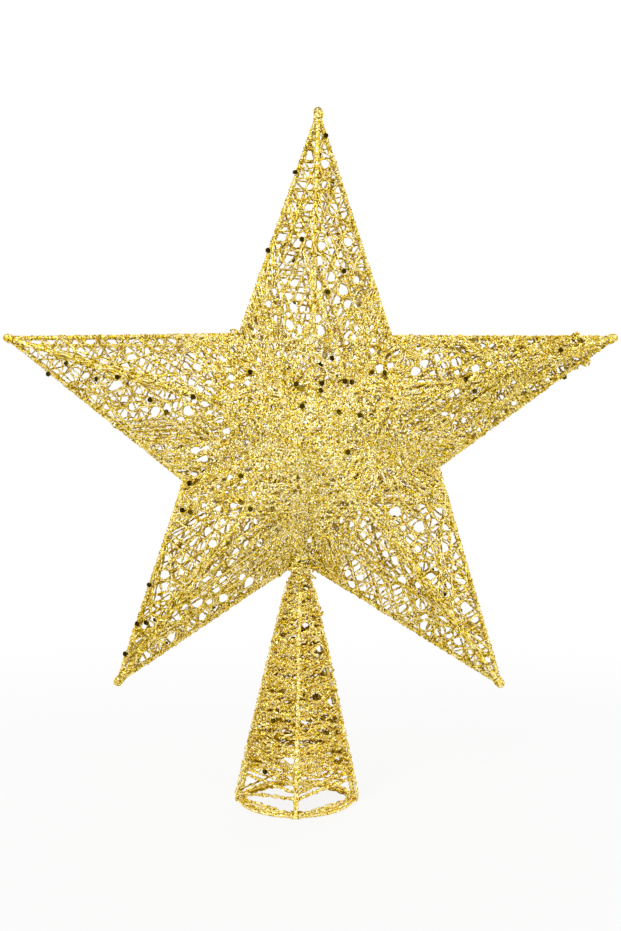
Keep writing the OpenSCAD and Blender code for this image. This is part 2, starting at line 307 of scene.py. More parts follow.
def edgeOut(k, e):
    a, b = edges[k, e]
    run = unit((b - a)[[0, 2]])
    out = np.array([run[1], -run[0]])
    return out if out @ (a[[0, 2]] + b[[0, 2]] - 2 * starMiddle[[0, 2]]) > 0 else -out


def faceHeight(points):
    # how far the star's own faces stand from its middle plane, at many points
    flat, middle = points[:, [0, 2]], starMiddle[[0, 2]]
    tents, along = [], []
    for k in range(5):
        planes = []
        for e in range(2):
            start, out = edges[k, e][0][[0, 2]], edgeOut(k, e)
            planes.append((flat - start) @ out / ((middle - start) @ out))
        tents.append(np.minimum(*planes))
        along.append((flat - middle) @ unit(crossings[k][[0, 2]] - middle))
    own = np.argmax(along, axis=0)
    return np.clip(np.array(tents)[own, np.arange(len(points))], 0, 1) * abs(apexes[front][1])


def halfTurn(k, e, share, side, radius):
    # half way round an outline wire, from the given face to its outside
    spot, out = onEdge(k, e, share), edgeOut(k, e)
    return [np.array([spot[0] + out[0] * radius * math.cos(a), side * radius * math.sin(a),
                      spot[1] + out[1] * radius * math.cos(a)]) for a in (0.8, 0.0)]


def chord(start, end, side, rng, lift, crossed=openings["crossed"]):
    # over one face, from outside one wire to outside another
    look = threadLook
    p, q = onEdge(*start), onEdge(*end)
    radius = contact + rng.uniform(*look["sunk"])
    route = (halfTurn(*start, side, radius)[::-1] + draped(p, q, side, lift)
             + halfTurn(*end, side, radius))
    points = resampled(route, look["step"])
    height = faceHeight(points)
    furthest = height + contact + look["slack"] * np.clip(height / look["slackHeight"], 0, 1)
    points[:, 1] = np.clip(points[:, 1], -furthest, furthest)
    wobble = look["wobble"] * rng.uniform(*look["wobbleSpread"])
    points = wobbled(points, rng, wobble, look["wobbleLength"])
    far = np.linalg.norm(points - starMiddle, axis=1)
    near = np.clip((look["tangleEnd"] - far) / look["tangleFade"], 0, 1)[:, None]
    points += near * (wobbled(points, rng, look["tangle"], look["tangleLength"]) - points)
    return points if rng.uniform() < crossed else gathered(points)


def wrapped(line, radius, pitch, rng):
    # a strand wound round a line of points
    look = threadLook
    line = resampled(line, 0.5)
    run = runAlong(line)
    length = run[-1]
    angleStep = look["step"] / radius
    count = int(length / pitch * 2 * math.pi / angleStep)
    phase = np.linspace(0, length / look["pitchWaveLength"], count) + rng.uniform(0, 6)
    turnSpeed = pitch * (1 + look["pitchWave"] * np.sin(phase)
                         + rng.normal(0, look["pitchStray"], count))
    at = np.cumsum(turnSpeed)
    at *= length / at[-1]
    angle = np.arange(count) * angleStep + rng.uniform(0, 6)
    centre, ahead, behind = (np.stack([np.interp(at + shift, run, line[:, i]) for i in range(3)], 1)
                             for shift in (0, 0.5, -0.5))
    way = units(ahead - behind)
    upright = abs(way[:, 1]).mean() < 0.8
    across = units(np.cross(way, [0.0, 1.0, 0.0] if upright else [0.0, 0.0, 1.0]))
    up = np.cross(way, across)
    r = radius + rng.normal(0, look["boundStray"], count)
    return centre + r[:, None] * (across * np.cos(angle)[:, None] + up * np.sin(angle)[:, None])


def read(items, key, width=1, kind=np.float32):
    # one property of all the vertices, faces or corners of a mesh
    found = np.empty(len(items) * width, kind)
    items.foreach_get(key, found)
    return found


def shadeFaces(mesh, shade):
    # how bright the glitter of each face is, with the painted shade that the threads carry, for the
    # materials
    flake = mesh.attributes.new("flake", "FLOAT", "FACE")
    flake.data.foreach_set("value", shade.astype(np.float32))


def makeThread(name, strands, seed, radius=None, tone=0.0, inside=0.0):
    # every strand is a bevelled curve, then one mesh, roughened by its glitter
    look = threadLook
    rng = np.random.default_rng(seed)
    spread = look["radiusSpread"]
    curve = bpy.data.curves.new(name, "CURVE")
    curve.dimensions = "3D"
    curve.bevel_depth = (radius or look["radius"]) * mm
    curve.bevel_resolution = 1
    curve.use_fill_caps = True
    for points in strands:
        spline = curve.splines.new("POLY")
        spline.points.add(len(points) - 1)
        at = np.concatenate([points * mm, np.ones((len(points), 1))], 1)
        spline.points.foreach_set("co", at.astype(np.float32).ravel())
        widths = rng.uniform(1 - spread, 1 + spread, len(points))
        spline.points.foreach_set("radius", widths.astype(np.float32))
    holder = shown(name, curve)
    bpy.context.view_layer.update()
    mesh = bpy.data.meshes.new_from_object(
        holder.evaluated_get(bpy.context.evaluated_depsgraph_get()))
    bpy.data.objects.remove(holder)
    bpy.data.curves.remove(curve)
    mesh.name = name
    layThreadMap(mesh)
    bm = bmesh.new()
    bm.from_mesh(mesh)
    bmesh.ops.remove_doubles(bm, verts=bm.verts, dist=1e-6)
    bm.to_mesh(mesh)
    bm.free()
    mesh.shade_flat()
    at = read(mesh.vertices, "co", 3)
    at += rng.normal(0, look["roughness"] * mm, len(at)).astype(np.float32)
    mesh.vertices.foreach_set("co", at)
    shade = rng.uniform(0, 1, len(mesh.polygons)) + tone
    centre = read(mesh.polygons, "center", 3).reshape(-1, 3)
    normal = read(mesh.polygons, "normal", 3).reshape(-1, 3)
    if inside:
        # painted shade: faces that turn towards the middle of the cone are darker, and its sides
        # too, while those facing out are lighter, as if the inside lay in shade
        out = centre[:, :2] - ringMiddle[:2] * mm
        facing = (out * normal[:, :2]).sum(1) / np.linalg.norm(out, axis=1)
        shade += inside * (facing - 0.5)
    else:
        # painted shade and light: faces turned sideways to the star's faces are darker and those
        # facing front or back lighter, so each strand has a lit core and shaded edges
        beyond = np.linalg.norm(centre / mm - starMiddle, axis=1) - look["paintedShadeFrom"]
        sideShade = look["paintedSideShade"] * np.clip(beyond / look["paintedShadeFrom"], look["paintedShadeLeast"], 1)
        shade += sideShade * (abs(normal[:, 1]) - 0.6)
    shadeFaces(mesh, np.clip(shade, look["darkest"], 1))
    mesh.update()
    piece = shown(name, mesh)
    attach(piece, "root")
    mesh.materials.append(coneThread if name.startswith(("cone", "neck")) else threadGlitter)
    print(name, len(strands), "strands")
    return piece


def layThreadMap(mesh):
    # each length of a strand gets its own cell of the map, in rows, so that nothing overlaps
    sides, lidFaces = 6, 4
    cellHeight = 3.4  # in widths of a cell
    corners = read(mesh.polygons, "loop_total", 1, np.int32)
    starts = read(mesh.polygons, "loop_start", 1, np.int32)
    old = read(mesh.uv_layers[0].data, "uv", 2).reshape(-1, 2)
    walls = np.flatnonzero(corners == 4)
    lids = np.flatnonzero(corners == 3)
    lengths = len(walls) // sides
    cells = lengths + len(lids) // lidFaces
    columns = int(math.ceil(math.sqrt(cells * cellHeight)))
    rows = int(math.ceil(cells / columns))
    new = np.zeros_like(old)
    order = np.arange(len(walls)) // sides
    for corner, along in enumerate((0.0, 1.0, 1.0, 0.0)):
        at = starts[walls] + corner
        new[at, 0] = (order % columns + along) / columns
        new[at, 1] = (order // columns + 0.05 + 0.9 * old[at, 1]) / rows
    order = lengths + np.arange(len(lids)) // lidFaces
    for corner in range(3):
        at = starts[lids] + corner
        angle = old[at, 0] * 2 * math.pi * 5 / 6
        new[at, 0] = (order % columns + 0.5 + 0.4 * np.cos(angle)) / columns
        new[at, 1] = (order // columns + 0.5 + 0.2 * np.sin(angle)) / rows
    while mesh.uv_layers:
        mesh.uv_layers.remove(mesh.uv_layers[0])
    mesh.uv_layers.new(name="OFBake").data.foreach_set("uv", new.ravel())


# Materials

goldTones = {
    # from dark flakes to bright ones: place, then red, green and blue
    "star": [(0.00, 0.20, 0.12, 0.0005), (0.20, 0.57, 0.385, 0.004), (0.46, 0.96, 0.715, 0.055),
             (0.70, 1.0, 0.87, 0.28), (0.94, 1.0, 0.97, 0.74)],
    "cone": [(0.00, 0.20, 0.115, 0.0005), (0.20, 0.57, 0.365, 0.003), (0.46, 0.97, 0.695, 0.04),
             (0.74, 1.0, 0.85, 0.2), (0.95, 1.0, 0.95, 0.58)],
    "sequin": [(0.00, 0.022, 0.012, 0.0003), (0.7, 0.05, 0.031, 0.0006), (1.00, 0.10, 0.07, 0.003)],
}
glitterLook = {
    # cellShare is how much of the tone comes from grains, the rest from each flake's own;
    # middle and outer are what is added near the star's middle and out in its arms
    "thread": {"cell": 0.65, "cellShare": 0.6, "drift": 0.25, "middle": 0.1, "outer": -0.12,
               "metallic": 0.85, "smoothest": 0.2, "roughest": 0.5, "bump": 0.3},
    "wire": {"cell": 0.6, "cellShare": 1.0, "drift": 0.25, "middle": 0, "outer": -0.04,
             "metallic": 0.75, "smoothest": 0.25, "roughest": 0.6, "bump": 0.6},
    "flake": {"cell": 0.4, "cellShare": 0.1, "drift": 0.15, "middle": 0.075, "outer": -0.05,
              "metallic": 0.92, "smoothest": 0.12, "roughest": 0.4, "bump": 0.05},
    "sequin": {"cell": 3.0, "cellShare": 1.0, "drift": 0.3, "middle": 0, "outer": 0,
               "metallic": 1.0, "smoothest": 0.15, "roughest": 0.35, "bump": 0.05},
}
glitterLook["coneThread"] = {**glitterLook["thread"], "cellShare": 0.5, "middle": 0.07,
                             "outer": 0.07}
glitterLook["coneFlake"] = {**glitterLook["flake"], "middle": 0.07, "outer": 0.07}
glitterTint = (0.75, 0.45, 0.04, 1)
driftSize, bumpDepth = 14 * mm, 0.25 * mm
middleEnds, outerStarts = 35 * mm, 75 * mm  # from the middle of the star


def setInputs(tree, node, inputs):
    # by name or number, each to a value or to another node's output
    for socket, value in dict(inputs).items():
        if isinstance(value, bpy.types.NodeSocket):
            tree.links.new(value, node.inputs[socket])
        else:
            node.inputs[socket].default_value = value


def addNode(tree, kind, inputs=()):
    node = tree.nodes.new("ShaderNode" + kind)
    setInputs(tree, node, inputs)
    return node


def startMaterial(name, inputs):
    material = bpy.data.materials.new(name)
    material.use_nodes = True
    tree = material.node_tree
    shader = tree.nodes["Principled BSDF"]
    setInputs(tree, shader, inputs)
    return material, tree, shader


def addRamp(tree, tones, value):
    ramp = addNode(tree, "ValToRGB", {"Fac": value})
    while len(ramp.color_ramp.elements) < len(tones):
        ramp.color_ramp.elements.new(0.5)
    for element, (at, *colour) in zip(ramp.color_ramp.elements, tones):
        element.position = at
        element.color = (*colour, 1)
    return ramp.outputs["Color"]


def addMath(tree, operation, *inputs, clamp=False):
    node = addNode(tree, "Math", enumerate(inputs))
    node.operation = operation
    node.use_clamp = clamp
    return node.outputs[0]


def addRange(tree, value, low, high, fromLow=0.0, fromHigh=1.0):
    inputs = {"Value": value, "From Min": fromLow, "From Max": fromHigh, "To Min": low,
              "To Max": high}
    return addNode(tree, "MapRange", inputs).outputs["Result"]


def makeGlitter(name, look, tones, attribute=None):
    material, tree, shader = startMaterial(name, {"Metallic": look["metallic"],
                                                  "Specular IOR Level": 0,
                                                  "Specular Tint": glitterTint})
    place = addNode(tree, "TexCoord").outputs["Object"]
    cells = addNode(tree, "TexVoronoi", {"Vector": place, "Scale": 1 / (look["cell"] * mm)})
    tone, rough, height = addNode(tree, "SeparateColor", {0: cells.outputs["Color"]}).outputs
    drift = addNode(tree, "TexNoise", {"Vector": place, "Scale": 1 / driftSize, "Detail": 2})
    if attribute:
        flake = addNode(tree, "Attribute")
        flake.attribute_name = attribute
        share = look["cellShare"]
        mixed = addMath(tree, "ADD", addMath(tree, "MULTIPLY", tone, share),
                        addMath(tree, "MULTIPLY", flake.outputs["Fac"], 1 - share))
        spare = 0.5 * min(share, 1 - share)
        tone = addRange(tree, mixed, 0, 1, spare * 0.9, 1 - spare * 0.9)
    sway = addRange(tree, drift.outputs["Fac"], -look["drift"], look["drift"], 0.2, 0.8)
    away = addNode(tree, "VectorMath", {0: place, 1: starMiddle * mm})
    away.operation = "DISTANCE"
    spread = addRange(tree, away.outputs["Value"], look["middle"], look["outer"], middleEnds,
                      outerStarts)
    total = addMath(tree, "ADD", addMath(tree, "ADD", tone, spread),
                    addMath(tree, "MULTIPLY", sway, 0.5), clamp=True)
    grain = addNode(tree, "Bump", {"Strength": look["bump"], "Distance": bumpDepth,
                                   "Height": height})
    rough = addRange(tree, rough, look["smoothest"], look["roughest"])
    setInputs(tree, shader, {"Base Color": addRamp(tree, tones, total), "Roughness": rough,
                             "Normal": grain.outputs["Normal"]})
    return material


threadGlitter = makeGlitter("threadGlitter", glitterLook["thread"], goldTones["star"], "flake")
wireGlitter = makeGlitter("wireGlitter", glitterLook["wire"], goldTones["star"])
flakeGlitter = makeGlitter("flakeGlitter", glitterLook["flake"], goldTones["star"], "flake")
coneThread = makeGlitter("coneThread", glitterLook["coneThread"], goldTones["cone"], "flake")
coneFlakes = makeGlitter("coneFlakes", glitterLook["coneFlake"], goldTones["cone"], "flake")
sequinFilm = makeGlitter("sequinFilm", glitterLook["sequin"], goldTones["sequin"])

for name, node in nodes.items():
    node.data.materials.clear()
    node.data.materials.append(wireGlitter)

# The wound arms

armWinding = {
    # per arm: each pass is (pitch, slant), in millimetres, crosses is the number of steep strands
    # on each face and fans that of the strands that run from its outer part over the middle;
    # radius and crossed take the place of the ones that all strands have
    "top": {"passes": [(5.6, 2.5)], "crosses": 6, "fans": 4},
    "left": {"passes": [(5.6, 2)], "crosses": 9, "fans": 4, "radius": 0.3, "crossed": 0.55},
    "lower_left": {"passes": [(6.0, 3)], "crosses": 6, "fans": 4},
    "lower_right": {"passes": [(4.7, -2)], "crosses": 5, "fans": 5},
    "right": {"passes": [(5.6, 2), (9, -7)], "crosses": 13, "fans": 9},
}
armLook = {
    "lift": 0.8,                    # at most, over a ridge
    "tipGap": 1.5,                  # in millimetres, from the last turn to the tip
    "closer": 0.3,                  # how much closer the turns lie there
    "stray": 0.1, "leastStray": 0.4,  # of the pitch, and in millimetres
    "steepEnds": [(0.02, 0.5), (0.5, 0.98)],  # the shares of the edges that steep strands meet
}


def armStrands(k, look, rng):
    strands = []
    crossed = look.get("crossed", openings["crossedInArms"])
    lengths = [np.linalg.norm(edges[k, e][1] - edges[k, e][0]) for e in range(2)]
    for pitch, slant in look["passes"]:
        at = rng.uniform(0, pitch)
        e, side = int(rng.integers(2)), front
        spots = []
        while at < min(lengths) - armLook["tipGap"]:
            lean = slant / 2 * (1 if e else -1) * (1 - 0.5 * at / min(lengths))
            stray = rng.normal(0, armLook["stray"] * pitch + armLook["leastStray"])
            spots.append((e, np.clip(at + lean + stray, 1.0, lengths[e] - 0.8) / lengths[e]))
            at += pitch / 2 * (1 - armLook["closer"] * at / min(lengths))
            e = 1 - e
        for (e1, s1), (e2, s2) in zip(spots[:-1], spots[1:]):
            lift = rng.uniform(0, armLook["lift"])
            strands.append(chord((k, e1, s1), (k, e2, s2), side, rng, lift, crossed))
            side = -side
    for side in (front, back):
        for n in range(look["crosses"]):
            e = int(rng.integers(2))
            low, high = (rng.uniform(*ends) for ends in armLook["steepEnds"])
            lift = rng.uniform(0, armLook["lift"])
            strands.append(chord((k, e, low), (k, 1 - e, high), side, rng, lift, crossed))
    return strands


for k, armName in enumerate(armNames):
    look = armWinding[armName]
    strands = armStrands(k, look, np.random.default_rng(100 + k))
    winding = makeThread(f"{armName}_arm_thread", strands, 200 + k, look.get("radius"))
    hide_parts(f"{armName}_arm_winding")
print("arms wound")

# The web over the middle

webWinding = {
    # an arm, the strands on each face from its far edge to that of the next arm but one, side by
    # side and closer towards the valleys, and how far out they reach in the first and in the second
    "runs": [(0, 16, 1, 1), (1, 16, 0.85, 1), (2, 16, 1, 1), (3, 17, 1, 1), (4, 16, 1, 0.7)],
    "crowding": 1.75,
    "stray": 0.2,                   # of the space between two of them
    "slant": 0.035,                 # how much further out one end may lie than the other
    "paired": 0.35,                 # the share of them with a second strand close beside
    "pairGap": (0.006, 0.014),
    "through": 11,                  # strands from each arm to the valley across the middle,
    "throughEnds": [(0.02, 0.32), (0.005, 0.22)],  # and the shares of the edges that they meet
    "fanEnds": [(0.35, 0.98), (0.01, 0.3)],
    "short": [5, 12, 12, 12, 5],    # strands past each valley, between the arms beside it
    "shortReach": 0.2,
    # an arm, strands and shares of its edge for the thick runs
    "bands": [(2, 8, 0.6, 0.965), (4, 1, 0.975, 0.985)],
    "lift": 1.0,
    "parts": 3,
}


def fits(start, end):
    p, q = onEdge(*start), onEdge(*end)
    t = np.linspace(0.04, 0.96, 30)[:, None]
    return np.linalg.norm(q - p) > 12 and inOutline(p + (q - p) * t).all()


def evenShares(count, look, rng):
    places = (np.arange(count) + 0.5 + rng.normal(0, look["stray"], count)) / count
    return np.clip(places, 0.004, 0.98) ** look["crowding"]


def webStrands(side, look, rng):
    wanted = []

    def want(a, e, share, b, f, far):
        wanted.append(((a, e, share), (b % 5, f, far)))

    for a, count, firstReach, lastReach in look["runs"]:
        for share in evenShares(count, look, rng):
            far = np.clip(share + rng.normal(0, look["slant"]), 0.01, 0.98)
            share, far = share * firstReach, far * lastReach
            want(a, 0, share, a + 2, 1, far)
            if rng.uniform() < look["paired"]:
                beside = rng.uniform(*look["pairGap"], 2)
                want(a, 0, min(share + beside[0], 0.985), a + 2, 1, min(far + beside[1], 0.985))
    for a, count, low, high in look["bands"]:
        for share in rng.uniform(low, high, count):
            want(a, 0, share, a + 2, 1, np.clip(share + rng.normal(0, 0.05), low, high))
    near, beyond = look["throughEnds"]
    nearFan, beyondFan = look["fanEnds"]
    for a in range(5):
        for n in range(look["short"][a]):
            ends = rng.uniform(0.01, look["shortReach"], 2)
            want(a, 0, ends[0], a + 1, 1, ends[1])
        for n in range(look["through"]):
            e = int(rng.integers(2))
            want(a, e, rng.uniform(*near), a + 2 + e, 1 - e, rng.uniform(*beyond))
        for n in range(armWinding[armNames[a]]["fans"]):
            want(a, int(rng.integers(2)), rng.uniform(*nearFan),
                 a + int(rng.integers(2, 4)), int(rng.integers(2)), rng.uniform(*beyondFan))
    strands = [chord(start, end, side, rng, rng.uniform(0, look["lift"]))
               for start, end in wanted if fits(start, end)]
    print(faceNames[side], "web", len(strands), "of", len(wanted), "strands fit")
    rng.shuffle(strands)
    return strands


for side in (front, back):
    strands = webStrands(side, webWinding, np.random.default_rng(300 + side))
    parts = [makeThread(f"{faceNames[side]}_web_thread_{i}", strands[i::webWinding["parts"]],
                        310 + 4 * side + i) for i in range(webWinding["parts"])]
    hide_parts(f"{faceNames[side]}_web_winding")
print("web wound")

# The thread bound round the wires

wireBinding = {
    "outlinePitch": 1.15, "ridgePitch": 2.3, "ringPitch": 1.0, "ribPitch": 1.9,
    "strandRadius": 0.22, "seat": 0.06,
    "tipFrom": 8.5, "tipTo": 1.8,    # inward from the very tip
    "tipRadius": 1.75, "tipTurns": 5,
    "tipLoops": [6, 0, 2, 2, 2], "tipOver": [0.8, 0, 0, 0, 0],
    "ridgeStrands": [1, 5, 5, 9, 4], "ridgeStray": 1.6,
    "ridgeFrom": (0.25, 0.5), "ridgeTo": (0.7, 0.97),  # the shares of the ridge where they end
    # arm, edge, share of it, how far out, size and number of loops
    "knots": [(2, 1, 0.04, -3.0, 2.6, 14), (3, 0, 0.07, -3.4, 2.8, 14),
              (4, 1, 0.865, 0.7, 1.5, 12), (4, 0, 0.865, 1.3, 1.5, 12), (4, 0, 0.81, 0.2, 1.3, 8),
              (1, 0, 0.012, 0.6, 1.5, 10), (2, 1, 0.12, 0.3, 1.3, 7), (1, 1, 0.4, 0, 1.3, 6)],
}
bound = wireRadius + wireBinding["seat"]


def aroundTip(k, look, rng):
    # turns round the blunt end of an arm, and loops over it
    out = unit(crossings[k] - starMiddle)
    flat = np.array([-out[2], 0, out[0]])
    radius = look["tipRadius"]
    tipReach = max((nodePoints("tip_beads") - starMiddle) @ out)
    start = starMiddle + out * (tipReach - look["tipFrom"])
    end = starMiddle + out * (tipReach - look["tipTo"] + look["tipOver"][k])
    pitch = (look["tipFrom"] - look["tipTo"]) / look["tipTurns"]
    strands = [wrapped([start, end], radius, pitch, rng)]
    for i in range(look["tipLoops"][k]):
        turn = math.pi * (i + rng.uniform(-0.3, 0.3)) / look["tipLoops"][k]
        side = flat * math.cos(turn) + np.array([0, 1, 0]) * math.sin(turn)
        arc = [end + side * radius * math.cos(a) + out * (radius - 0.1) * math.sin(a)
               for a in np.linspace(-0.1, math.pi + 0.1, 12)]
        foot = out * rng.uniform(3.5, 7)
        arc = [arc[0] - foot * rng.uniform(0.7, 1)] + arc + [arc[-1] - foot]
        strands.append(wobbled(resampled(arc, 0.7), rng, 0.12, 4))
    return strands


def overFloor(strands, least):
    # what is bound round the ring is pressed flat where the ring stands
    for points in strands:
        points[:, 2] = np.maximum(points[:, 2], least)
    return strands


def knot(middle, size, count, rng):
    # a tangle of small loops
    strands = []
    for n in range(count):
        a = unit(rng.normal(0, 1, 3))
        b = unit(np.cross(a, rng.normal(0, 1, 3)))
        t = np.linspace(0, 5.9, 12) + rng.uniform(0, 6)
        r = size * rng.uniform(0.6, 1.1)
        strands.append(middle + rng.normal(0, size * 0.3, 3)
                       + r * (np.cos(t)[:, None] * a + 0.8 * np.sin(t)[:, None] * b))
    return strands


def besideRidge(k, side, look, rng):
    # a strand that runs with a ridge wire, over the turns round it
    inner, outer = ridges[k, side]
    run = unit(outer - inner)
    across = unit(np.cross(run, [0, side, 0]))
    start, end = rng.uniform(*look["ridgeFrom"]), rng.uniform(*look["ridgeTo"])
    share = np.linspace(start, end, 9)
    off = rng.normal(0, 1, 2) * look["ridgeStray"]
    off = off[0] + (off[1] - off[0]) * share
    sink = np.minimum(abs(off) * 0.35, 1.2)
    line = (inner + (outer - inner) * share[:, None] + across * off[:, None]
            + np.array([0, side, 0]) * (contact + 0.35 - sink)[:, None])
    return wobbled(resampled(line, threadLook["step"]), rng, 0.3, 9)


rng = np.random.default_rng(400)
strands = []
for k, e, share, off, size, count in wireBinding["knots"]:
    spot = onEdge(k, e, share) + edgeOut(k, e) * off
    strands += knot(np.array([spot[0], 0, spot[1]]), size, count, rng)
makeThread("knot_thread", strands, 405, 0.33, -0.1)
strands = [wrapped(edges[k, e], bound, wireBinding["outlinePitch"], rng)
           for k in range(5) for e in range(2)]
for k in range(5):
    strands += aroundTip(k, wireBinding, rng)
makeThread("outline_binding", strands, 401, wireBinding["strandRadius"])
strands = [wrapped(ridges[k, side], bound, wireBinding["ridgePitch"], rng)
           for k in range(5) for side in (front, back)]
makeThread("ridge_binding", strands, 402, wireBinding["strandRadius"], 0.05)
strands = [besideRidge(k, side, wireBinding, rng) for k in range(5) for side in (front, back)
           for n in range(wireBinding["ridgeStrands"][k])]
makeThread("ridge_thread", strands, 406, tone=0.1)

# The cone

coneWinding = {
    "pitch": 2.7, "start": 12.5, "end": 92.0, "slant": 1.2,
    "bunch": 1.1, "bunchHeight": 7.5,  # turns lie closer together once in each such height
    "wave": 0.5, "waveLength": 5.5,
    "ties": 110,         # steep strands across one side, and how much they rise or fall
    "tieRise": (3, 10), "tieEnds": (13, 88),
    "footStrands": 2,    # on each side, from foot to foot inside the ring
    "footTurns": 7,      # round each foot of a rib and the ring
    "footPitch": 0.62, "footWide": 2.15, "footTall": 1.55,
    "ribStrands": 3,     # along the outside of each rib
    "ringStrands": [0.2, 1.0, 1.7, 2.6],  # along the ring, at these angles round its wire
    # steep strands near the mouth: from one rib at a height to the next at another
    "petals": [("left", 3.2, "front", 7.6), ("left", 3.6, "front", 8.2),
               ("front", 7.6, "right", 9.6), ("front", 8.0, "right", 10.2),
               ("right", 8, "back", 4), ("back", 7.5, "left", 4.2),
               ("front", 9.6, "left", 11.4), ("front", 10.0, "left", 11.8),
               ("right", 13.0, "front", 9.4), ("right", 13.4, "front", 10.0)],
    "neckLoops": 34,
    "neckHeights": (-7.5, 4.5), "neckWide": (3.4, 4.6), "neckDeep": (2.9, 4.2),
    # openings in its near side, and others right through: how many and how wide
    "dark": (18, 1.5), "clear": (6, 1.6),
}


def ribPoint(name, z, turn, radius):
    foot, top = ribs[name]
    spot = foot + (top - foot) * (z - foot[2]) / (top[2] - foot[2])
    way = ribNames.index(name) * math.pi / 2 + turn
    return spot + radius * np.array([math.cos(way), math.sin(way), 0])


def conePlaces(count, size, rng):
    # across, up and radius, more of them in the upper half
    places = []
    while len(places) < count:
        z = rng.uniform(16, 86)
        wide = max(ringRadius * (1 - z / neckTop[2]) - 0.5, 3.2)
        at = np.array([rng.uniform(-wide, wide), z, size * rng.uniform(0.75, 1.3)])
        if abs(at[0]) > 1.8 and all(np.hypot(*(at - p)[:2]) > 1.1 * (at[2] + p[2]) for p in places):
            places.append(at)
    return np.array(places)


def coneStrands(look, passes, rng):
    strands = []
    for i in passes:
        z = look["start"] + rng.uniform(0, 1.5)
        way = 1 if i % 2 == 0 else -1
        route = []
        j = int(rng.integers(4))
        while z < look["end"]:
            height = z + rng.normal(0, look["slant"] * (0.4 + 0.6 * (1 - z / look["end"])))
            height += look["bunch"] * math.sin(height / look["bunchHeight"] * 2 * math.pi
                                               + 2.4 * (j % 4))
            height = min(max(height, look["start"] - 1), look["end"])
            radius = contact + rng.uniform(0, 0.5)
            route += [ribPoint(ribNames[j % 4], height, turn * way, radius)
                      for turn in (-0.6, 0.0, 0.6)]
            j += way
            z += look["pitch"] / 4
        points = wobbled(resampled(route, 0.9), rng, look["wave"], look["waveLength"])
        strands.append(coneGathered(points))
    return strands


conePlacesRng = np.random.default_rng(510)
darkPlaces = conePlaces(*coneWinding["dark"], conePlacesRng)
clearPlaces = conePlaces(*coneWinding["clear"], conePlacesRng)


def coneGathered(points):
    return gathered(gathered(points, darkPlaces, ringMiddle[1], 3), clearPlaces, passes=4)


def strandBetween(first, z1, second, z2, rng, bulge=0.0):
    way = (ribNames.index(second) - ribNames.index(first)) % 4
    turn = 0.6 if way == 1 else -0.6
    radius = contact + rng.uniform(0, 0.3)
    a = [ribPoint(first, z1, t, radius) for t in (-turn, 0, turn)]
    b = [ribPoint(second, z2, t, radius) for t in (-turn, 0, turn)]
    middle = (a[-1] + b[0]) / 2 + np.array([0, 0, bulge])
    return coneGathered(wobbled(resampled(a + [middle] + b, 0.7), rng, 0.2, 6))


def mouthStrands(look, rng):
    strands = []
    for n in range(look["ties"]):
        j = int(rng.integers(4))
        z = look["start"] + 1 + (look["end"] - look["start"] - 6) * rng.uniform() ** 1.3
        far = np.clip(z + rng.choice([-1, 1]) * rng.uniform(*look["tieRise"]), *look["tieEnds"])
        strands.append(strandBetween(ribNames[j], z, ribNames[(j + 1) % 4], far, rng))
    for i, name in enumerate(ribNames):
        after = ribNames[(i + 1) % 4]
        for n in range(look["footStrands"]):
            strands.append(strandBetween(name, 1.2 + 0.7 * n, after, 1.3 + 0.6 * n, rng, 0.2))
    for first, z1, second, z2 in look["petals"] * 2:
        shift = rng.uniform(-0.35, 0.35)
        strands.append(strandBetween(first, z1 + shift, second, z2 + shift, rng,
                                     rng.uniform(0, 0.8)))
    return overFloor(strands, 0.5)


def knotAtFoot(name, look, rng):
    # turns that hold a rib to the ring, side by side along the ring
    way = ribNames.index(name) * math.pi / 2
    out = np.array([math.cos(way), math.sin(way), 0])
    along = np.array([-out[1], out[0], 0])
    middle = ringMiddle + out * (ringRadius + 0.95)
    strands = []
    for n in range(look["footTurns"]):
        a = np.linspace(0, 2 * math.pi * 0.97, 14) + rng.uniform(0, 6)
        shift = along * (n - (look["footTurns"] - 1) / 2) * look["footPitch"]
        lean = rng.normal(0, 0.25)
        loop = [middle + shift + along * lean * math.sin(t) + out * look["footWide"] * math.cos(t)
                + np.array([0, 0, 0.5 + look["footTall"] * math.sin(t)]) for t in a]
        strands.append(np.array(loop))
    return overFloor(strands, 0.45)


def ribTop(look, rng):
    # the tangle that ties the neck of the cone into the lower valley
    strands = []
    middle = valleys[2] - np.array([0, 0, 1.5])
    for n in range(look["neckLoops"]):
        normal = unit(np.array([rng.normal(0, 0.45), rng.normal(0, 0.3), 1]))
        a = unit(np.cross(normal, [0, 1, 0]))
        b = np.cross(normal, a)
        centre = middle + np.array([rng.normal(0, 1.5), 0, rng.uniform(*look["neckHeights"])])
        grow = 1 + 0.06 * (centre[2] - middle[2])
        ra, rb = rng.uniform(*look["neckWide"]) * grow, rng.uniform(*look["neckDeep"])
        t = np.linspace(0, 2 * math.pi * 0.98, 26) + rng.uniform(0, 6)
        strands.append(centre + ra * np.cos(t)[:, None] * a + rb * np.sin(t)[:, None] * b)
    return strands


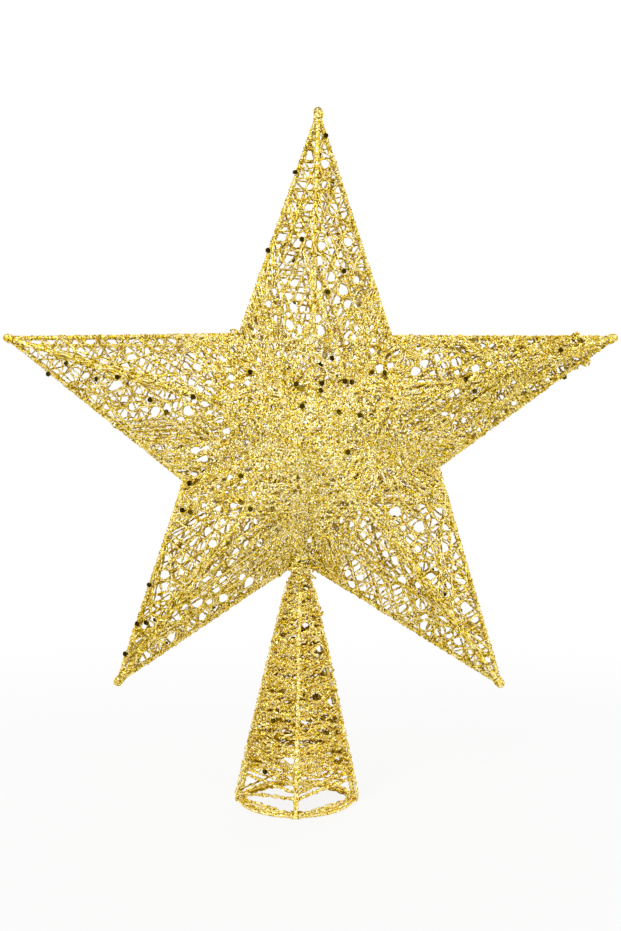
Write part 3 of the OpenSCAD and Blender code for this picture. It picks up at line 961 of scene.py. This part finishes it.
rng = np.random.default_rng(500)
around = np.linspace(0, 2 * math.pi, 97)
ringLine = ringMiddle + ringRadius * np.stack([np.cos(around), np.sin(around), 0 * around], 1)
strands = overFloor([wrapped(ringLine, bound, wireBinding["ringPitch"], rng)
                     for n in range(2)], 0.45)
strands += [wrapped(ribs[name], bound, wireBinding["ribPitch"], rng) for name in ribNames]
for name in ribNames:
    strands += knotAtFoot(name, coneWinding, rng)
makeThread("cone_binding", overFloor(strands, 0.45), 403, wireBinding["strandRadius"], 0.15)
strands = []
for name in ribNames:
    for n in range(coneWinding["ribStrands"]):
        line = [ribPoint(name, z, rng.normal(0, 0.2), contact + rng.uniform(0.55, 0.8))
                for z in np.arange(2, 90, 6)]
        strands.append(wobbled(resampled(line, 0.8), rng, 0.2, 5))
for turn in coneWinding["ringStrands"]:
    lift = contact + rng.uniform(0.2, 0.45)
    wide = (ringRadius + lift * math.cos(turn)) / ringRadius
    line = ringMiddle + (ringLine - ringMiddle) * wide + [0, 0, lift * math.sin(turn)]
    strands.append(wobbled(resampled(line, 0.9), rng, 0.2, 6))
makeThread("cone_rib_thread", overFloor(strands, 0.5), 404, 0.36, 0.3)
print("wires bound")

# painted shade: the inner layer of the cone is a little darker as a whole, and on both layers the
# faces towards its middle are darker
inner = makeThread("cone_thread_inner", coneStrands(coneWinding, (0, 1), rng), 501, tone=-0.04,
                   inside=0.45)
outer = makeThread("cone_thread_outer", coneStrands(coneWinding, (2, 3), rng)
                   + mouthStrands(coneWinding, rng), 502, inside=0.45)
neck = makeThread("neck_thread", ribTop(coneWinding, rng), 503)
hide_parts("cone_winding")
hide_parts("neck_binding")
print("cone wound")

# Loose flakes and sequins

flakeLook = {
    # how many on each face of the star and on the cone, and their size in millimetres
    "front": 78500, "back": 15000, "cone": 16500,
    "pieces": {front: 3, back: 1},
    "radius": 0.35, "height": 0.12, "spread": 0.4,
    "tilt": 0.38, "rise": 0.12,
    "outward": 2.0,              # how much they turn away from the thread that holds them
    "thick": 48, "thin": 74,     # thickest within the first distance of the middle
    "thinSize": 0.75,
    "armShares": [0.07, 0.07, 0.3, 0.07, 0.9],
    "edgeShare": 0.25, "edgeHeight": 1.6,
    "gap": 0.55, "bridge": 0.9,  # near the middle they close gaps between the outer strands
    "mouthShare": 0.3, "mouthHeight": 10, "coneTop": 97,
}


def castTree(piece, depsgraph):
    at = np.array([v.co for v in piece.data.vertices]) / mm
    return BVHTree.FromObject(piece, depsgraph), at.min(0) - 1, at.max(0) + 1


threads = [o for o in bpy.data.objects
           if "_thread" in o.name or "_binding" in o.name and o.name not in nodes]
depsgraph = bpy.context.evaluated_depsgraph_get()
trees = [castTree(o, depsgraph) for o in threads]


def firstHit(start, way, alongY=False):
    # the nearest thread on a line of sight: where it is, its normal and how far, in millimetres
    best = None
    for tree, low, high in trees:
        if alongY and any(not low[i] < start[i] < high[i] for i in (0, 2)):
            continue
        hit = tree.ray_cast(Vector(start) * mm, Vector(way))
        if hit[0] is not None and (best is None or hit[3] < best[3]):
            best = hit
    return best and (np.array(best[0]) / mm, np.array(best[1]), best[3] / mm)


def makeFlakes(name, spots, look, rng):
    # low four-sided chips, each turned its own way
    bm = bmesh.new()
    bmesh.ops.create_cone(bm, cap_ends=True, segments=4, radius1=1, radius2=0, depth=1)
    chip = bpy.data.meshes.new(name)
    bm.to_mesh(chip)
    bm.free()
    corner = np.array([v.co for v in chip.vertices])
    corner[:, 2] += 0.5
    loops = np.array([l.vertex_index for l in chip.loops])
    starts = np.array([p.loop_start for p in chip.polygons])
    count = len(spots)
    at, out = (np.array([s[i] for s in spots]) for i in range(2))
    out = units(units(out) + rng.normal(0, look["tilt"], (count, 3)))
    side = units(np.cross(out, rng.normal(0, 1, (count, 3))))
    up = np.cross(out, side)
    size = look["radius"] * rng.uniform(1 - look["spread"], 1 + look["spread"], (count, 1, 1))
    size *= np.array([s[2] for s in spots])[:, None, None]
    wide = size * (corner[None, :, :1] * side[:, None] + corner[None, :, 1:2] * up[:, None])
    tall = look["height"] * corner[None, :, 2:] * out[:, None]
    points = (at[:, None] + wide + tall + look["rise"] * out[:, None]) * mm
    chips = np.arange(count)
    mesh = bpy.data.meshes.new(name)
    mesh.vertices.add(count * len(corner))
    mesh.vertices.foreach_set("co", points.astype(np.float32).ravel())
    mesh.loops.add(count * len(loops))
    mesh.loops.foreach_set("vertex_index", (loops + len(corner) * chips[:, None]).ravel()
                           .astype(np.int32))
    mesh.polygons.add(count * len(starts))
    mesh.polygons.foreach_set("loop_start", (starts + len(loops) * chips[:, None]).ravel()
                              .astype(np.int32))
    mesh.update(calc_edges=True)
    mesh.shade_flat()
    shadeFaces(mesh, np.repeat(rng.uniform(0, 1, count), len(starts)))
    columns = int(math.ceil(math.sqrt(count)))
    cell = np.stack([chips % columns, chips // columns], 1)
    uv = (cell[:, None] + 0.5 + 0.35 * corner[None, loops, :2]) / columns
    mesh.uv_layers.new(name="OFBake").data.foreach_set("uv", uv.astype(np.float32).ravel())
    bpy.data.meshes.remove(chip)
    mesh.materials.append(coneFlakes if name.startswith("cone") else flakeGlitter)
    piece = shown(name, mesh)
    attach(piece, "root")
    print(name, count, "flakes")


def starSpots(side, count, look, rng):
    spots = []
    low, high = outline.min(0) - 2, outline.max(0) + 2
    while len(spots) < count:
        x, z = rng.uniform(low, high)
        far = math.hypot(x - starMiddle[0], z - starMiddle[2])
        way = math.atan2(starMiddle[0] - x, z - starMiddle[2]) / (2 * math.pi) * 5
        share = min(max((look["thin"] - far) / (look["thin"] - look["thick"]),
                        look["armShares"][round(way) % 5]), 1)
        if rng.uniform() > share:
            continue
        hit = firstHit(np.array([x, side * 80, z]), np.array([0, -side, 0.0]), True)
        if hit and hit[1][1] * side > 0.1:
            nearEdge = abs(hit[0][1]) < look["edgeHeight"]
            if nearEdge and share < 1 and rng.uniform() > look["edgeShare"]:
                continue
            spots.append((hit[0], hit[1] + look["outward"] * np.array([0, side, 0]),
                          look["thinSize"] + (1 - look["thinSize"]) * share))
    return spots


def bridged(spots, side, look, rng):
    at = np.array([s[0] for s in spots])
    cell = np.floor(at[:, [0, 2]] / look["gap"]).astype(int)
    cell -= cell.min(0) - 1
    height = at[:, 1] * side
    top = np.full(cell.max(0) + 2, -100.0)
    np.maximum.at(top, (cell[:, 0], cell[:, 1]), height)
    roof = np.max([np.roll(top, (i, j), (0, 1)) for i in (-1, 0, 1) for j in (-1, 0, 1)], axis=0)
    roof = np.minimum(roof[cell[:, 0], cell[:, 1]] - rng.uniform(0.1, 0.5, len(at)),
                      height + look["bridge"])
    thick = [(s[2] - look["thinSize"]) / (1 - look["thinSize"]) for s in spots]
    lifted = np.where(rng.uniform(size=len(at)) < thick, np.maximum(height, roof), height)
    return [(np.array([p[0], side * h, p[2]]), s[1], s[2]) for p, h, s in zip(at, lifted, spots)]


def coneSpots(count, look, rng):
    spots = []
    while len(spots) < count:
        z = look["coneTop"] * (1 - math.sqrt(rng.uniform(0, 1)))
        if z < look["mouthHeight"] and rng.uniform() > look["mouthShare"]:
            continue
        way = rng.uniform(0, 2 * math.pi)
        share = z / neckTop[2]
        middle = ringMiddle * (1 - share) + neckTop * share
        out = np.array([math.cos(way), math.sin(way), 0])
        side = np.array([-out[1], out[0], 0])
        start = (np.array([middle[0], middle[1], z]) + out * 60
                 + side * rng.uniform(-26, 26) * (1 - share))
        hit = firstHit(start, -out)
        if hit and hit[1] @ out > 0.1 and hit[2] < 60 and hit[0][2] > 1:
            spots.append((hit[0], hit[1] + look["outward"] * out, 1))
    return spots


rng = np.random.default_rng(700)
for side in (front, back):
    spots = starSpots(side, flakeLook[faceNames[side]], flakeLook, rng)
    spots = bridged(spots, side, flakeLook, rng)
    pieces = flakeLook["pieces"][side]
    for i in range(pieces):
        makeFlakes(f"{faceNames[side]}_glitter_{i}", spots[i::pieces], flakeLook, rng)
makeFlakes("cone_glitter", coneSpots(flakeLook["cone"], flakeLook, rng), flakeLook, rng)
print("glitter strewn")

sequinLook = {
    "radius": 1.15, "thickness": 0.16, "edge": 0.03, "tilt": 0.14, "sunk": 0.1,
    # where the camera sees them, across and up in the middle plane of the star
    "front": [(-3.5, 229.6), (-17.4, 225.1), (-6.3, 257.0), (13.7, 216.6), (7.1, 208.0),
              (6.3, 272.1), (-24.7, 175.3), (-5.9, 170.4), (-3.5, 168.3), (-3.5, 161.4),
              (4.3, 178.6), (8.8, 181.0), (4.7, 170.8), (4.3, 167.9), (14.1, 171.6),
              (17.0, 171.2), (25.1, 175.3), (30.4, 174.9), (11.6, 159.0), (20.2, 157.7),
              (15.3, 142.6), (-28.4, 132.8), (-24.7, 119.3), (-99.9, 179.0), (-107.2, 174.5),
              (-87.6, 172.4), (-79.0, 173.2), (-65.6, 163.9), (-48.0, 165.1), (-59.0, 159.0),
              (-49.6, 129.9), (-52.5, 118.9), (-49.2, 118.1), (63.5, 172.4), (67.2, 167.5),
              (102.3, 184.3), (-66.0, 88.3), (-70.9, 72.4), (-67.2, 72.8), (-75.8, 60.1),
              (-18.6, 11.9), (-15.3, 32.7)],
    "coneBelow": 60, "coneWithin": 30,   # these lie on the cone, and turn like its near side
    "coneWay": [-0.4, -0.9, 0.2],
    "frontReach": 0.9, "backReach": 0.6, # how wide a patch of thread carries one
    "backCount": 30, "backFrom": 80,
}


def nearestAround(start, way, reach):
    # how far along a line a small plate comes to rest on the threads
    side = unit(np.cross(way, [0.3, 0.2, 1]))
    up = np.cross(way, side)
    found = [firstHit(start + reach * r * (side * math.cos(a) + up * math.sin(a)), way)
             for a in np.arange(8) * math.pi / 4 for r in (0.5, 1)]
    found = [f for f in found + [firstHit(start, way)] if f]
    return min(f[2] for f in found) if found else None


def surfaceWay(spot, side):
    # outward from the face of the star near a point
    run = unit(np.array([spot[0] - starMiddle[0], 0, spot[2] - starMiddle[2]]) + 1e-6)
    return unit(np.array([run[0] * 0.22, side, run[2] * 0.22]))


def makeSequins(look, rng):
    bm = bmesh.new()

    def addSequin(at, out):
        tilt = rng.normal(0, look["tilt"], 3)
        turn = Vector(unit(out + tilt)).to_track_quat("Z", "Y")
        made = bmesh.ops.create_cone(bm, cap_ends=True, segments=6, radius1=look["radius"] * mm,
                                     radius2=look["radius"] * mm, depth=look["thickness"] * mm)
        spin = turn.to_matrix().to_4x4()
        bmesh.ops.rotate(bm, verts=made["verts"], cent=(0, 0, 0), matrix=spin)
        bmesh.ops.translate(bm, verts=made["verts"], vec=Vector(at) * mm)

    eye = np.array(photoCamera.location) / mm
    for x, z in look["front"]:
        way = unit(np.array([x, 0, z]) - eye)
        far = nearestAround(eye, way, look["frontReach"])
        onCone = z <= look["coneBelow"] and abs(x) <= look["coneWithin"]
        if far:
            addSequin(eye + way * (far - look["sunk"]), np.array(look["coneWay"]) if onCone
                      else surfaceWay(eye + way * far, front))
    for n in range(look["backCount"]):
        k = int(rng.integers(5))
        spot = starMiddle + (crossings[k] - starMiddle) * rng.uniform(0.05, 0.9)
        start = np.array([spot[0] + rng.normal(0, 9), look["backFrom"], spot[2] + rng.normal(0, 9)])
        far = nearestAround(start, np.array([0, -1.0, 0]), look["backReach"])
        if far and far < look["backFrom"]:
            addSequin(start - np.array([0, far - look["sunk"], 0]), surfaceWay(start, back))
    bmesh.ops.bevel(bm, geom=bm.edges[:], offset=look["edge"] * mm, segments=1, profile=0.5,
                    affect="EDGES", material=-1)
    mesh = bpy.data.meshes.new("sequins_film")
    bm.to_mesh(mesh)
    bm.free()
    mesh.materials.append(sequinFilm)
    piece = shown("sequins_film", mesh)
    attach(piece, "root")
    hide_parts("sequins")


glitter = [o for o in bpy.data.objects if "_glitter" in o.name]
depsgraph = bpy.context.evaluated_depsgraph_get()
trees += [castTree(o, depsgraph) for o in glitter]
makeSequins(sequinLook, np.random.default_rng(600))
print("sequins set")


# Floor and light

studio = {
    "world": 0.58, "aim": (0, 0, 0.14),
    # size, power and place
    "keyLight": (0.9, 9.6, (-0.8, -1.1, 1.1)),
    "fillLight": (0.8, 4.2, (1.1, -0.9, 0.6)),
    "rearLight": (0.9, 4.0, (0.3, 1.2, 0.9)),
    "floorRadius": 4, "floorColour": (0.86, 0.86, 0.86, 1),
    # how white the floor is to the camera near its middle, and where it turns to all white
    "floorWhite": 0.85, "fadeFrom": 0.1, "fadeTo": 0.5,
}
floorMesh = bpy.data.meshes.new("floor")
bm = bmesh.new()
bmesh.ops.create_circle(bm, cap_ends=True, segments=96, radius=studio["floorRadius"])
bm.to_mesh(floorMesh)
bm.free()
floor = shown("floor", floorMesh)


def addLight(name, size, power, place):
    data = bpy.data.lights.new(name, "AREA")
    data.shape = "SQUARE"
    data.size = size
    data.energy = power
    light = shown(name, data)
    light.location = place
    way = Vector(studio["aim"]) - Vector(place)
    light.rotation_euler = way.to_track_quat("-Z", "Y").to_euler()


def seenBy(tree, *kinds):
    # 1 for rays of these kinds, and 0 for all others
    path = addNode(tree, "LightPath")
    seen = path.outputs[kinds[0]]
    for kind in kinds[1:]:
        seen = addMath(tree, "MAXIMUM", seen, path.outputs[kind])
    return seen


def mixShaders(tree, *inputs):
    return addNode(tree, "MixShader", enumerate(inputs)).outputs[0]


for name in ("keyLight", "fillLight", "rearLight"):
    addLight(name, *studio[name])

world = bpy.data.worlds.new("studio")
bpy.context.scene.world = world
world.use_nodes = True
tree = world.node_tree
tree.nodes.clear()
grounds = [addNode(tree, "Background", {"Color": (1, 1, 1, 1), "Strength": strength}).outputs[0]
           for strength in (studio["world"], 1)]
seen = seenBy(tree, "Is Camera Ray", "Is Glossy Ray", "Is Transmission Ray")
addNode(tree, "OutputWorld", {0: mixShaders(tree, seen, *grounds)})

floorPaint, tree, shader = startMaterial("floorPaint", {"Roughness": 0.9,
                                                        "Base Color": studio["floorColour"]})
floorMesh.materials.append(floorPaint)
away = addNode(tree, "VectorMath", {0: addNode(tree, "TexCoord").outputs["Object"]})
away.operation = "LENGTH"
fade = addRange(tree, away.outputs["Value"], studio["floorWhite"], 1, studio["fadeFrom"],
                studio["fadeTo"])
fade.node.interpolation_type = "SMOOTHSTEP"
amount = addMath(tree, "MULTIPLY", seenBy(tree, "Is Camera Ray", "Is Glossy Ray"), fade)
surface = mixShaders(tree, amount, shader.outputs[0], addNode(tree, "Emission").outputs[0])
setInputs(tree, tree.nodes["Material Output"], {0: surface})

bpy.context.scene.view_settings.view_transform = "Standard"
